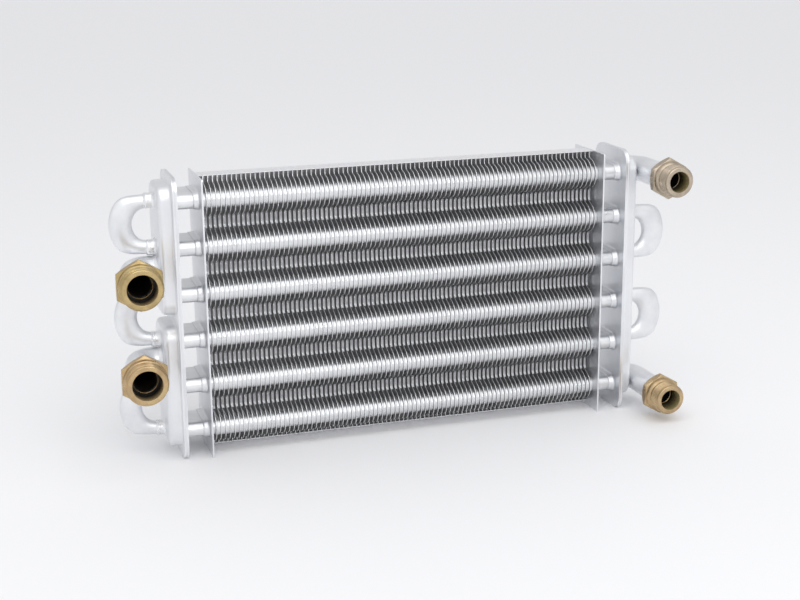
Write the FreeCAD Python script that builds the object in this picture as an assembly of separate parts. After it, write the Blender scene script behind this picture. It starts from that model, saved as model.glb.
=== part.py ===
import FreeCAD, Part
import math
import os

Vec = FreeCAD.Vector

# Boiler heat exchanger with two circuits, in millimetres. X runs along the tubes, Y from the
# fittings' side to the back, Z up. The object stands on the long edges of its end plates.
# Shapes are worked out about the middle of the pack and the tubes' common mid-plane, and
# moved at the end so that the origin is the bottom centre of the whole object.

# Tubes. An oval tube carries the heating water, a round tube inside it the tap water.
tube_count = 6
tube_pitch = 29.75
tube_foot_margin = 11.6
tube_height = 10.0
tube_depth = 31.5
tube_wall = 0.8
water_tube_diameter = 8.0
water_tube_wall = 0.8
braze_gap = 0.05

# Fin pack. The webs of the fins stand between the oval collars drawn round the tubes.
fin_count = 88
fin_pitch = 3.005
fin_thickness = 0.35
fin_foot_margin = 7.5
fin_top_margin = 9.1
fin_collar_wall = 0.4
fin_web_inset = 0.25

# Inner end plates, at the two ends of the fin pack.
inner_plate_top_margin = 9.65
inner_plate_side_margin = 7.25
inner_plate_thickness = 1.0
inner_plate_corner = 1.0
plate_collar_wall = 0.6
plate_collar_length = 4.0

# Outer end assemblies: a flat tube plate with a pressed header brazed on its outside.
end_gap = 15.0
outer_plate_top_margin = 11.15
flange_side_margin = 5.0
outer_plate_corner = 9.0
tube_plate_thickness = 1.5
header_sheet = 1.5
dome_rise = 8.6
dome_side_clearance = 1.1
dome_foot_margin = 4.35
dome_top_margin = 6.15
dome_split_margin = 7.1
dome_plan_radius = 9.5
dome_edge_radius = 3.0
dome_split_radius = 8.0

# Pressed U-bends of the tap-water circuit.
bend_socket_length = 4.5
bend_socket_wall = 0.8
bend_reach_left = 28.0
bend_reach_right = 29.8
bend_return_width_left = 14.3
bend_return_width_right = 16.2
bend_return_thickness = 7.6
bend_steps = 12
bend_arm_sharpness = 10
bend_press_sharpness = 4

# Elbow pipes, from the headers to the screw fittings, which all face the front.
pipe_side_clearance = 1.525
pipe_wall = 1.0
heating_pipe_lift = 0.9
heating_pipe_run = 3.9
heating_elbow_inside = 3.5
water_elbow_inside = 0.6

# Brass screw fittings. The thread is plain at its crest diameter.
heating_hex = 28.0
heating_hex_length = 9.0
heating_thread_diameter = 26.44
heating_thread_length = 10.5
heating_bore = 18.6
heating_front = 52.0
water_hex = 24.0
water_hex_length = 8.0
water_thread_diameter = 20.95
water_thread_length = 13.0
water_bore = 13.6
water_front = 60.0
fitting_chamfer = 1.3
hex_chamfer_angle = 30.0
socket_depth = 6.0
bore_step = 1.4
step_length = 2.5

# Places worked out from the sizes above, measured outwards from the middle of the pack.
tube_z = [tube_foot_margin + tube_height / 2 + row * tube_pitch for row in range(tube_count)]
tubes_top = tube_z[-1] + tube_height / 2
inner_plate_height = tubes_top + inner_plate_top_margin
outer_plate_height = tubes_top + outer_plate_top_margin
inner_plate_depth = tube_depth + 2 * inner_plate_side_margin
plate_collar_depth = tube_depth + 2 * (braze_gap + plate_collar_wall)
dome_depth = plate_collar_depth + 2 * (dome_side_clearance + header_sheet)
outer_plate_depth = dome_depth + 2 * flange_side_margin
pack_half = fin_pitch * (fin_count + 1) / 2
inner_plate_outside = pack_half + inner_plate_thickness
tube_plate_inside = inner_plate_outside + end_gap
tube_plate_outside = tube_plate_inside + tube_plate_thickness
flange_outside = tube_plate_outside + header_sheet
dome_face = flange_outside + dome_rise
outer_tube_left = tube_plate_outside + plate_collar_length
outer_tube_right = tube_plate_outside
inner_tube_end = dome_face + bend_socket_length
bend_socket_diameter = water_tube_diameter + 2 * (braze_gap + bend_socket_wall)
pipe_diameter = tube_pitch - bend_socket_diameter - 2 * pipe_side_clearance
heating_pipe_radius = pipe_diameter / 2 + heating_elbow_inside
water_pipe_radius = pipe_diameter / 2 + water_elbow_inside
heating_pipe_offset = heating_pipe_run + heating_pipe_radius
water_pipe_offset = water_pipe_radius
collar_height = tube_height + 2 * (braze_gap + fin_collar_wall)
collar_depth = tube_depth + 2 * (braze_gap + fin_collar_wall)
web_half_depth = (tube_depth - tube_height) / 2 - fin_web_inset
fin_bottom = tube_z[0] - collar_height / 2 - fin_foot_margin
fin_top = tube_z[-1] + collar_height / 2 + fin_top_margin

# The move from the middle of the pack to the bottom centre of the whole object.
reach_left = dome_face + bend_reach_left
reach_right = dome_face + bend_reach_right
reach_front = max(heating_front, water_front)
to_origin = Vec((reach_left - reach_right) / 2, (reach_front - outer_plate_depth / 2) / 2, 0)


def rounded_wire(points, radii):
    """A closed flat outline through the points, each corner an arc of its own radius."""
    count = len(points)
    edges = []
    start = None
    first = None
    for index in range(count):
        here = points[index]
        before = (points[index - 1] - here).normalize()
        after = (points[(index + 1) % count] - here).normalize()
        if radii[index] > 0:
            half = before.getAngle(after) / 2
            arm = radii[index] / math.tan(half)
            inward = (before + after).normalize()
            enter = here + before * arm
            leave = here + after * arm
            crown = here + inward * (radii[index] / math.sin(half) - radii[index])
            arc = Part.Arc(enter, crown, leave).toShape()
        else:
            enter = here
            leave = here
            arc = None
        if start is None:
            first = enter
        else:
            edges.append(Part.LineSegment(start, enter).toShape())
        if arc is not None:
            edges.append(arc)
        start = leave
    edges.append(Part.LineSegment(start, first).toShape())
    return Part.Wire(edges)


def plan_wire(x, half_depth, low, high, radius):
    """A rounded rectangle across the tubes, from height low to height high."""
    corners = [Vec(x, -half_depth, low), Vec(x, half_depth, low)]
    corners += [Vec(x, half_depth, high), Vec(x, -half_depth, high)]
    return rounded_wire(corners, [radius] * 4)


def oval_wire(x, centre_z, depth, height):
    """The tubes' oval: two flats joined by two half circles."""
    radius = height / 2
    flat = depth / 2 - radius
    top_front = Vec(x, -flat, centre_z + radius)
    top_back = Vec(x, flat, centre_z + radius)
    low_back = Vec(x, flat, centre_z - radius)
    low_front = Vec(x, -flat, centre_z - radius)
    back_nose = Part.Arc(top_back, Vec(x, depth / 2, centre_z), low_back)
    front_nose = Part.Arc(low_front, Vec(x, -depth / 2, centre_z), top_front)
    top_flat = Part.LineSegment(top_front, top_back)
    low_flat = Part.LineSegment(low_back, low_front)
    return Part.Wire([side.toShape() for side in (top_flat, back_nose, low_flat, front_nose)])


def flat_face(wires):
    """A flat face whose first wire is its outline and whose other wires are holes."""
    return Part.makeFace(wires, "Part::FaceMakerBullseye")


def oval_sleeve(x_start, x_end, centre_z, depth, height, wall):
    """An oval tube of the given outside size along X."""
    outside = oval_wire(x_start, centre_z, depth, height)
    inside = oval_wire(x_start, centre_z, depth - 2 * wall, height - 2 * wall)
    return flat_face([outside, inside]).extrude(Vec(x_end - x_start, 0, 0))


def ring_face(centre, normal, outer_diameter, inner_diameter):
    """A round pipe's flat end."""
    outside = Part.Wire(Part.makeCircle(outer_diameter / 2, centre, normal))
    inside = Part.Wire(Part.makeCircle(inner_diameter / 2, centre, normal))
    return flat_face([outside, inside])


def outer_tube(z):
    """The oval heating tube at height z."""
    return oval_sleeve(-outer_tube_left, outer_tube_right, z, tube_depth, tube_height, tube_wall)


def inner_tube(z):
    """The round tap-water tube at height z, from the sockets on one side to those on the other."""
    bore = water_tube_diameter - 2 * water_tube_wall
    end = ring_face(Vec(-inner_tube_end, 0, z), Vec(1, 0, 0), water_tube_diameter, bore)
    return end.extrude(Vec(2 * inner_tube_end, 0, 0))


def fin_row(rail_z, root_z, tip_z):
    """One row of webs standing on a rail in a collar's wall, as a comb whose teeth are the fins."""
    first = -pack_half + fin_pitch - fin_thickness / 2
    teeth = []
    for fin in range(fin_count):
        left = first + fin * fin_pitch
        right = left + fin_thickness
        teeth += [Vec(left, 0, root_z), Vec(left, 0, tip_z), Vec(right, 0, tip_z), Vec(right, 0, root_z)]
    outline = teeth[1:-1] + [Vec(-first, 0, rail_z), Vec(first, 0, rail_z)]
    row = flat_face([rounded_wire(outline, [0] * len(outline))]).extrude(Vec(0, 2 * web_half_depth, 0))
    row.translate(Vec(0, -web_half_depth, 0))
    return row


def fin_pack():
    """All fins, in touching rows: an oval collar round each tube, with the webs above it."""
    first = -pack_half + fin_pitch - fin_thickness / 2
    bore_half = tube_height / 2 + braze_gap
    collar_half = collar_height / 2
    tips = [z - collar_half for z in tube_z[1:]] + [fin_top]
    rows = []
    for z, tip in zip(tube_z, tips):
        row = oval_sleeve(first, -first, z, collar_depth, collar_height, fin_collar_wall)
        row = row.fuse(fin_row(z + bore_half, z + collar_half, tip))
        if z == tube_z[0]:
            row = row.fuse(fin_row(z - bore_half, z - collar_half, fin_bottom))
        rows.append(row.removeSplitter())
    return Part.makeCompound(rows)


def collared_plate(x_inside, x_outside, plan, collar_step):
    """A sheet with an oval hole for each tube and a collar drawn out at each hole.

    collar_step says how far along X the collars reach, and its sign on which side.
    """
    holes = []
    for z in tube_z:
        holes.append(oval_wire(x_inside, z, tube_depth + 2 * braze_gap, tube_height + 2 * braze_gap))
    plate = flat_face([plan] + holes).extrude(Vec(x_outside - x_inside, 0, 0))
    high_side = max(x_inside, x_outside)
    low_side = min(x_inside, x_outside)
    root = high_side if collar_step > 0 else low_side
    depth = tube_depth + 2 * (braze_gap + plate_collar_wall)
    height = tube_height + 2 * (braze_gap + plate_collar_wall)
    collars = [oval_sleeve(root, root + collar_step, z, depth, height, plate_collar_wall) for z in tube_z]
    return plate.fuse(collars).removeSplitter()


def inner_plate(side):
    """An end plate of the fin pack; its collars point away from the pack."""
    x_inside = side * pack_half
    x_outside = side * inner_plate_outside
    plan = plan_wire(x_inside, inner_plate_depth / 2, 0, inner_plate_height, inner_plate_corner)
    return collared_plate(x_inside, x_outside, plan, side * plate_collar_length)


def tube_plate(side):
    """The flat sheet that closes a header; on both sides its collars point to the left."""
    x_inside = side * tube_plate_inside
    x_outside = side * tube_plate_outside
    plan = plan_wire(x_inside, outer_plate_depth / 2, 0, outer_plate_height, outer_plate_corner)
    return collared_plate(x_inside, x_outside, plan, -plate_collar_length)


def dome_block(side, dome_low, dome_high, low_radius, high_radius, inset):
    """A pressed dome's bulk, pulled in by inset: its plan, side view and top view, in common."""
    rise = header_sheet + dome_rise - inset
    half_depth = dome_depth / 2 - inset
    low = dome_low + inset
    high = dome_high - inset
    x_base = side * tube_plate_outside
    x_face = side * (tube_plate_outside + rise)
    plan = flat_face([plan_wire(x_base, half_depth, low, high, dome_plan_radius - inset)])
    side_points = [Vec(x_base, -half_depth, low), Vec(x_face, -half_depth, low)]
    side_points += [Vec(x_face, -half_depth, high), Vec(x_base, -half_depth, high)]
    side_view = flat_face([rounded_wire(side_points, [0, low_radius - inset, high_radius - inset, 0])])
    top_points = [Vec(x_base, -half_depth, low), Vec(x_face, -half_depth, low)]
    top_points += [Vec(x_face, half_depth, low), Vec(x_base, half_depth, low)]
    edge_radius = dome_edge_radius - inset
    top_view = flat_face([rounded_wire(top_points, [0, edge_radius, edge_radius, 0])])
    bulk = plan.extrude(Vec(side * rise, 0, 0)).common(side_view.extrude(Vec(0, 2 * half_depth, 0)))
    return bulk.common(top_view.extrude(Vec(0, 0, high - low)))


def header(side, domes, holes):
    """A pressed header: a flange with hollow domes, and round holes through their faces.

    domes lists each dome's lowest and highest tube with its two end margins and radii,
    and holes lists each hole's height and diameter.
    """
    base = tube_plate_outside
    plan = plan_wire(side * base, outer_plate_depth / 2, 0, outer_plate_height, outer_plate_corner)
    body = flat_face([plan]).extrude(Vec(side * header_sheet, 0, 0))
    hollows = []
    for lowest, highest, low_margin, high_margin, low_radius, high_radius in domes:
        low = tube_z[lowest] - tube_height / 2 - low_margin
        high = tube_z[highest] + tube_height / 2 + high_margin
        body = body.fuse(dome_block(side, low, high, low_radius, high_radius, 0))
        hollows.append(dome_block(side, low, high, low_radius, high_radius, header_sheet))
    for z, diameter in holes:
        start = Vec(side * base, 0, z)
        hollows.append(Part.makeCylinder(diameter / 2, 2 * dome_rise, start, Vec(side, 0, 0)))
    return body.cut(hollows).removeSplitter()


def squeezed_ring(centre, across, half_across, half_thick):
    """A closed oval section: half_across along the direction across, half_thick along Y."""
    circle = Part.Wire(Part.makeCircle(1.0, Vec(0, 0, 0), Vec(0, 0, 1)))
    normal = across.cross(Vec(0, 1, 0))
    place = FreeCAD.Matrix(
        across.x * half_across, 0, normal.x, centre.x,
        across.y * half_across, half_thick, normal.y, centre.y,
        across.z * half_across, 0, normal.z, centre.z,
        0, 0, 0, 1)
    return circle.transformGeometry(place)


def arm_to_arc(arm_offset, arc_radius, angle):
    """Distance from the bend's middle point to a straight arm, easing over into an arc."""
    least_cosine = 0.001
    straight = arm_offset / max(abs(math.cos(angle)), least_cosine)
    both = straight ** -bend_arm_sharpness + arc_radius ** -bend_arm_sharpness
    return both ** (-1 / bend_arm_sharpness)


def bend_tube(side, apex, middle_z, width, inset):
    """The tube of a U-bend from socket to socket, as a loft whose walls lie inset.

    All sections lie across one middle point between the arms. There the return's outside and
    inside are two arcs about that point, and near the sockets both straighten into the arms.
    The return is pressed, so it is wider than the arms in the plane of the bend and thinner
    across it.
    """
    arm_radius = water_tube_diameter / 2
    centre_x = dome_face + bend_socket_length / 2
    arc_outside = apex - centre_x
    sections = []
    for step in range(bend_steps + 1):
        angle = math.pi * step / bend_steps
        outer = arm_to_arc(tube_pitch / 2 + arm_radius, arc_outside, angle)
        inner = arm_to_arc(tube_pitch / 2 - arm_radius, arc_outside - width, angle)
        press = math.sin(angle) ** bend_press_sharpness
        radial = Vec(side * math.sin(angle), 0, math.cos(angle))
        half_thick = arm_radius + press * (bend_return_thickness / 2 - arm_radius)
        centre = Vec(side * centre_x, 0, middle_z) + radial * ((outer + inner) / 2)
        sections.append(squeezed_ring(centre, radial, (outer - inner) / 2 - inset, half_thick - inset))
    return Part.makeLoft(sections, True, False)


def water_bend(side, lower_tube, reach, width):
    """A U-bend between two inner tubes, with a socket over the end of each."""
    middle_z = (tube_z[lower_tube] + tube_z[lower_tube + 1]) / 2
    apex = dome_face + reach
    socket_radius = water_tube_diameter / 2 + braze_gap
    outer = []
    inner = [bend_tube(side, apex, middle_z, width, water_tube_wall)]
    for z in (tube_z[lower_tube], tube_z[lower_tube + 1]):
        start = Vec(side * dome_face, 0, z)
        along = Vec(side, 0, 0)
        length = bend_socket_length + bend_socket_wall
        outer.append(Part.makeCylinder(bend_socket_diameter / 2, length, start, along))
        inner.append(Part.makeCylinder(socket_radius, bend_socket_length, start, along))
    return bend_tube(side, apex, middle_z, width, 0).fuse(outer).cut(inner).removeSplitter()


def elbow_pipe(side, z, offset, radius, end_y):
    """A pipe that leaves a header's face along X and turns towards the front."""
    bore = pipe_diameter - 2 * pipe_wall
    run_out = offset - radius
    outwards = Vec(side, 0, 0)
    start = Vec(side * dome_face, 0, z)
    corner = start + Vec(side * run_out, 0, 0)
    pivot = corner + Vec(0, -radius, 0)
    turned = pivot + Vec(side * radius, 0, 0)
    pieces = [ring_face(turned, Vec(0, -1, 0), pipe_diameter, bore).extrude(Vec(0, end_y - turned.y, 0))]
    pieces.append(ring_face(corner, outwards, pipe_diameter, bore).revolve(pivot, Vec(0, 0, -side), 90))
    if run_out > 0:
        pieces.append(ring_face(start, outwards, pipe_diameter, bore).extrude(outwards * run_out))
    return pieces[0].fuse(pieces[1:]).removeSplitter()


def turned_solid(x, z, profile):
    """A solid turned about the line along Y through x and z, from its radii and places along Y."""
    points = [Vec(x + radius, y, z) for radius, y in profile]
    section = flat_face([rounded_wire(points, [0] * len(points))])
    return section.revolve(Vec(x, 0, z), Vec(0, 1, 0), 360)


def screw_fitting(x, z, front, hexagon, hex_length, thread, thread_length, bore):
    """A turned brass fitting: a socket for the pipe, a hexagon and a male screw end."""
    back = -front + thread_length + hex_length
    hex_front = -front + thread_length
    corner_radius = hexagon / 2 / math.cos(math.pi / 6)
    corners = []
    for turn in range(6):
        angle = math.pi / 2 + turn * math.pi / 3
        corners.append(Vec(x + corner_radius * math.cos(angle), back, z + corner_radius * math.sin(angle)))
    prism = flat_face([rounded_wire(corners, [0] * 6)]).extrude(Vec(0, -hex_length, 0))
    slope = (corner_radius - hexagon / 2) * math.tan(math.radians(hex_chamfer_angle))
    blank = [(0, back), (hexagon / 2, back), (corner_radius, back - slope)]
    blank += [(corner_radius, hex_front + slope), (hexagon / 2, hex_front), (0, hex_front)]
    crest = thread / 2
    screw = [(0, hex_front), (crest, hex_front), (crest, fitting_chamfer - front)]
    screw += [(crest - fitting_chamfer, -front), (0, -front)]
    body = prism.common(turned_solid(x, z, blank)).fuse(turned_solid(x, z, screw))
    seat = back - socket_depth
    step_front = seat - step_length
    forward = Vec(0, -1, 0)
    socket = Part.makeCylinder(pipe_diameter / 2 + braze_gap, socket_depth, Vec(x, back, z), forward)
    throat_radius = min(bore - bore_step, pipe_diameter - 2 * pipe_wall) / 2
    throat = Part.makeCylinder(throat_radius, step_length, Vec(x, seat, z), forward)
    mouth = Part.makeCylinder(bore / 2, step_front + front, Vec(x, step_front, z), forward)
    return body.cut([socket, throat, mouth]).removeSplitter()


def build():
    """Every piece by its name."""
    nodes = {"fin_pack": fin_pack()}
    for row, z in enumerate(tube_z):
        number = tube_count - row
        nodes[f"outer_tube_{number}"] = outer_tube(z)
        nodes[f"inner_tube_{number}"] = inner_tube(z)
    for side, name in ((-1, "left"), (1, "right")):
        nodes[f"inner_plate_{name}"] = inner_plate(side)
        nodes[f"tube_plate_{name}"] = tube_plate(side)

    last = tube_count - 1
    split = tube_count // 2
    tube_hole = water_tube_diameter + 2 * braze_gap
    pipe_bore = pipe_diameter - 2 * pipe_wall
    tube_holes = [(z, tube_hole) for z in tube_z]
    lower_heating_z = (tube_z[split - 2] + tube_z[split - 1]) / 2 + heating_pipe_lift
    upper_heating_z = (tube_z[split] + tube_z[split + 1]) / 2 + heating_pipe_lift
    lower_dome = (0, split - 1, dome_foot_margin, dome_top_margin, dome_edge_radius, dome_edge_radius)
    upper_dome = (split, last, dome_split_margin, dome_top_margin, dome_split_radius, dome_edge_radius)
    long_dome = (0, last, dome_foot_margin, dome_top_margin, dome_edge_radius, dome_edge_radius)
    heating_holes = [(lower_heating_z, pipe_bore), (upper_heating_z, pipe_bore)]
    nodes["header_left"] = header(-1, [lower_dome, upper_dome], tube_holes + heating_holes)
    nodes["header_right"] = header(1, [long_dome], tube_holes)

    left_bend = [bend_reach_left, bend_return_width_left]
    right_bend = [bend_reach_right, bend_return_width_right]
    for lower_tube, name in zip(range(0, tube_count, 2), ("bottom", "middle", "top")):
        nodes[f"water_bend_left_{name}"] = water_bend(-1, lower_tube, *left_bend)
    for lower_tube, name in zip(range(1, last, 2), ("lower", "upper")):
        nodes[f"water_bend_right_{name}"] = water_bend(1, lower_tube, *right_bend)

    heating_x = -(dome_face + heating_pipe_offset)
    heating_seat = -heating_front + heating_thread_length + heating_hex_length - socket_depth
    water_x = dome_face + water_pipe_offset
    water_seat = -water_front + water_thread_length + water_hex_length - socket_depth
    heating_pipe = [heating_pipe_offset, heating_pipe_radius, heating_seat]
    heating_screw = [heating_front, heating_hex, heating_hex_length]
    heating_screw += [heating_thread_diameter, heating_thread_length, heating_bore]
    water_pipe = [water_pipe_offset, water_pipe_radius, water_seat]
    water_screw = [water_front, water_hex, water_hex_length]
    water_screw += [water_thread_diameter, water_thread_length, water_bore]
    for name, z in (("lower", lower_heating_z), ("upper", upper_heating_z)):
        nodes[f"heating_pipe_{name}"] = elbow_pipe(-1, z, *heating_pipe)
        nodes[f"heating_fitting_{name}"] = screw_fitting(heating_x, z, *heating_screw)
    for name, z in (("lower", tube_z[0]), ("upper", tube_z[last])):
        nodes[f"water_pipe_{name}"] = elbow_pipe(1, z, *water_pipe)
        nodes[f"water_fitting_{name}"] = screw_fitting(water_x, z, *water_screw)
    return nodes


os.makedirs("parts", exist_ok=True)
for node, shape in build().items():
    shape.translate(to_origin)
    shape.exportStep(f"parts/{node}.step")
    print(node, "valid", shape.isValid(), "solids", len(shape.Solids), "volume", round(shape.Volume, 1))
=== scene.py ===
import math
import bmesh
import bpy
import numpy as np
from mathutils import Matrix


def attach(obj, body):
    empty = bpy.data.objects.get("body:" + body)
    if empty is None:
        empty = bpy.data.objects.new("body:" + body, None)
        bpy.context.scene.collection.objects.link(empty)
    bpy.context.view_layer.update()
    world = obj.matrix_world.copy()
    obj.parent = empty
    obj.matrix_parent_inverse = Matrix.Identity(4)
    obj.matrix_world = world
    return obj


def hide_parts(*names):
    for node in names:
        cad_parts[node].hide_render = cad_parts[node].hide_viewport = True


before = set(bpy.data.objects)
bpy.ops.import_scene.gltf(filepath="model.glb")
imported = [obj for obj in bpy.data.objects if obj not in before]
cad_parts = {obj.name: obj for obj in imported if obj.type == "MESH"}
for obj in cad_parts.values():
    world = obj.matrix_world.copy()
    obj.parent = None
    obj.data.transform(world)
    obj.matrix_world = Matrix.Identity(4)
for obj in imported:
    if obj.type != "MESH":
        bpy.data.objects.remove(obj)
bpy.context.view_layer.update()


# Heating tubes. Six drawn copper tubes of oval section carry the heating water through the
# pack. They are cut to length, coated silver all over, and brazed into the end plates.

tube_count = 6
tube_pitch = 29.75
first_tube_height = 16.6
tube_heights = first_tube_height + tube_pitch * np.arange(tube_count)
tube_nose_radius = 5.0
tube_core_half = 10.75
tube_wall = 0.8
tube_end_chamfer = 0.15
tube_left_end = -155.2225
tube_right_end = 151.2225
tube_nose_steps = 17
pack_middle = (-0.9, 18.0, 0.0)
millimetres_per_metre = 1000.0
weld_distance = 2e-6


def into_frame(points):
    """Millimetres from the pack's middle to metres in the frame: the middle's place is added."""
    return (np.asarray(points, dtype=float) + pack_middle) / millimetres_per_metre


def grid_quads(grid, wrap_rows, wrap_columns):
    """Corner numbers of the quads between each grid point, the next one round and the row after."""
    rows, columns = grid.shape[:2]
    row = np.arange(rows if wrap_rows else rows - 1)[:, None]
    column = np.arange(columns if wrap_columns else columns - 1)[None, :]
    next_row = (row + 1) % rows
    next_column = (column + 1) % columns
    corners = [row * columns + column, row * columns + next_column]
    corners += [next_row * columns + next_column, next_row * columns + column]
    return np.stack(corners, axis=-1).reshape(-1, 4)


def mesh_piece(name, patches, finishes, stands_for=(), sharp_degrees=38.0):
    """One object from patches of (points, quads, number of the finish), welded and turned outwards."""
    points = []
    quads = []
    finish_numbers = []
    first = 0
    for patch_points, patch_quads, finish in patches:
        flat = np.asarray(patch_points).reshape(-1, 3)
        points.append(flat)
        quads.append(patch_quads + first)
        finish_numbers.append(np.full(len(patch_quads), finish))
        first += len(flat)
    mesh = bpy.data.meshes.new(name)
    mesh.from_pydata(into_frame(np.concatenate(points)).tolist(), [], np.concatenate(quads).tolist())
    for material in finishes:
        mesh.materials.append(material)
    mesh.polygons.foreach_set("material_index", np.concatenate(finish_numbers).astype(np.int32))
    shell = bmesh.new()
    shell.from_mesh(mesh)
    bmesh.ops.remove_doubles(shell, verts=shell.verts, dist=weld_distance)
    bmesh.ops.recalc_face_normals(shell, faces=shell.faces)
    shell.to_mesh(mesh)
    shell.free()
    mesh.shade_smooth()
    mesh.set_sharp_from_angle(angle=math.radians(sharp_degrees))
    piece = bpy.data.objects.new(name, mesh)
    bpy.context.scene.collection.objects.link(piece)
    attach(piece, "root")
    if stands_for:
        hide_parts(*stands_for)


def oval_loop(steps):
    """Core points and outward directions round an oval, as (y, z): half a turn about each nose."""
    turn = np.linspace(-math.pi / 2, math.pi / 2, steps)
    back = np.stack([np.cos(turn), np.sin(turn)], axis=-1)
    core = np.zeros_like(back)
    core[:, 0] = tube_core_half
    return np.concatenate([core, -core]), np.concatenate([back, -back])


def carried_round(core, outward, profile, height):
    """A profile of (x, distance from the core) carried round a loop at the given height."""
    along = np.array(profile, dtype=float)
    grid = np.zeros((len(along), len(core), 3))
    grid[:, :, 0] = along[:, 0][:, None]
    grid[:, :, 1:] = core[None] + along[:, 1][:, None, None] * outward[None]
    grid[:, :, 2] += height
    return grid


def coated_metal(name, tone, dark_tone, roughness, grain, grain_depth, patch_size):
    """Silver coating: cloudy between two tones, a fine grain in its bump and an uneven gloss."""
    material = bpy.data.materials.new(name)
    material.use_nodes = True
    nodes = material.node_tree.nodes
    links = material.node_tree.links
    shader = nodes["Principled BSDF"]
    shader.inputs["Metallic"].default_value = 0.82
    place = nodes.new("ShaderNodeTexCoord")
    clouds = nodes.new("ShaderNodeTexNoise")
    clouds.inputs["Scale"].default_value = 1.0 / patch_size
    clouds.inputs["Detail"].default_value = 4.0
    links.new(place.outputs["Object"], clouds.inputs["Vector"])
    tones = nodes.new("ShaderNodeValToRGB")
    tones.color_ramp.elements[0].position = 0.32
    tones.color_ramp.elements[0].color = (*dark_tone, 1.0)
    tones.color_ramp.elements[1].position = 0.62
    tones.color_ramp.elements[1].color = (*tone, 1.0)
    links.new(clouds.outputs["Fac"], tones.inputs["Fac"])
    links.new(tones.outputs["Color"], shader.inputs["Base Color"])
    gloss_spread = 0.07
    gloss = nodes.new("ShaderNodeMapRange")
    gloss.inputs["From Min"].default_value = 0.3
    gloss.inputs["From Max"].default_value = 0.7
    gloss.inputs["To Min"].default_value = roughness - gloss_spread
    gloss.inputs["To Max"].default_value = roughness + gloss_spread
    links.new(clouds.outputs["Fac"], gloss.inputs["Value"])
    links.new(gloss.outputs["Result"], shader.inputs["Roughness"])
    fine = nodes.new("ShaderNodeTexNoise")
    fine.inputs["Scale"].default_value = 1.0 / grain
    fine.inputs["Detail"].default_value = 3.0
    links.new(place.outputs["Object"], fine.inputs["Vector"])
    bump = nodes.new("ShaderNodeBump")
    bump.inputs["Strength"].default_value = 0.35
    bump.inputs["Distance"].default_value = grain_depth
    links.new(fine.outputs["Fac"], bump.inputs["Height"])
    links.new(bump.outputs["Normal"], shader.inputs["Normal"])
    return material


tube_coating = coated_metal("coated tube", (0.86, 0.87, 0.88), (0.74, 0.75, 0.77),
                            roughness=0.34, grain=0.0012, grain_depth=0.00008, patch_size=0.012)
tube_core, tube_outward = oval_loop(tube_nose_steps)
tube_inside = tube_nose_radius - tube_wall
tube_chamfered = tube_nose_radius - tube_end_chamfer
tube_profile = [(tube_left_end, tube_chamfered), (tube_left_end + tube_end_chamfer, tube_nose_radius)]
tube_profile += [(tube_right_end - tube_end_chamfer, tube_nose_radius), (tube_right_end, tube_chamfered)]
tube_profile += [(tube_right_end, tube_inside), (tube_left_end, tube_inside)]
for row, height in enumerate(tube_heights):
    grid = carried_round(tube_core, tube_outward, tube_profile, height)
    number = tube_count - row
    mesh_piece(f"heating_tube_{number}", [(grid, grid_quads(grid, True, True), 0)],
               [tube_coating], [f"outer_tube_{number}"])


# Tap-water tubes. A round copper tube runs inside each oval one, and its ends pass through
# the headers into the U-bends. Hardly anything of them shows, so they stay as they were drawn.

for number in range(1, tube_count + 1):
    tap_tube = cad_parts[f"inner_tube_{number}"]
    tap_tube.data.materials.clear()
    tap_tube.data.materials.append(tube_coating)


# Fins. Eighty-eight thin copper sheets are stamped with a scalloped edge and pushed over the
# six tubes. A nose stands round each tube, and the hollows between have a small bent lip.

fin_count = 88
fin_pitch = 3.005
fin_half_thickness = 0.175
first_fin_x = -fin_pitch * (fin_count - 1) / 2
fin_places = first_fin_x + fin_pitch * np.arange(fin_count)
fin_core_half = 8.25
nose_radius = 9.8
nose_turn = math.radians(72.0)
hollow_reach = 6.5
hollow_radius = 3.4
end_hollow_radius = 2.0
fins_above = 14.55
fins_below = 12.95
cell_half = tube_pitch / 2
middle_levels = [3.2, 6.0, 8.0, 9.32, 10.11, 11.5, 13.34, cell_half]
end_levels = [3.2, 6.0, 8.0, 9.2, 9.78, 10.5, 11.79]
end_point_share = 0.35
collar_radius = 5.45


def scallop(heights):
    """Reach of the edge from the mid-plane: a nose arc, a straight flank, a hollow arc, a flat."""
    arc_top = nose_radius * math.sin(nose_turn)
    arc_reach = fin_core_half + nose_radius * math.cos(nose_turn)
    flank_drop = arc_reach - hollow_reach - hollow_radius * (1 - math.cos(nose_turn))
    flank_top = arc_top + flank_drop / math.tan(nose_turn)
    flat_start = flank_top + hollow_radius * math.sin(nose_turn)
    size = np.abs(heights)
    nose = fin_core_half + np.sqrt(np.clip(nose_radius ** 2 - size ** 2, 0, None))
    flank = arc_reach - (size - arc_top) * math.tan(nose_turn)
    bend = np.clip(flat_start - size, 0, hollow_radius)
    hollow = hollow_reach + hollow_radius - np.sqrt(hollow_radius ** 2 - bend ** 2)
    return np.where(size <= arc_top, nose, np.where(size <= flank_top, flank, hollow))


def end_scallop(heights):
    """The same edge at the pack's top and bottom: the nose arc touches the hollow's arc, then a flat."""
    centres_apart = nose_radius + end_hollow_radius
    centre_drop = fin_core_half - hollow_reach - end_hollow_radius
    flat_start = math.sqrt(centres_apart ** 2 - centre_drop ** 2)
    meet = nose_radius / centres_apart * flat_start
    size = np.abs(heights)
    nose = fin_core_half + np.sqrt(np.clip(nose_radius ** 2 - size ** 2, 0, None))
    bend = np.clip(flat_start - size, 0, end_hollow_radius)
    hollow = hollow_reach + end_hollow_radius - np.sqrt(end_hollow_radius ** 2 - bend ** 2)
    return np.where(size <= meet, nose, hollow)


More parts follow.
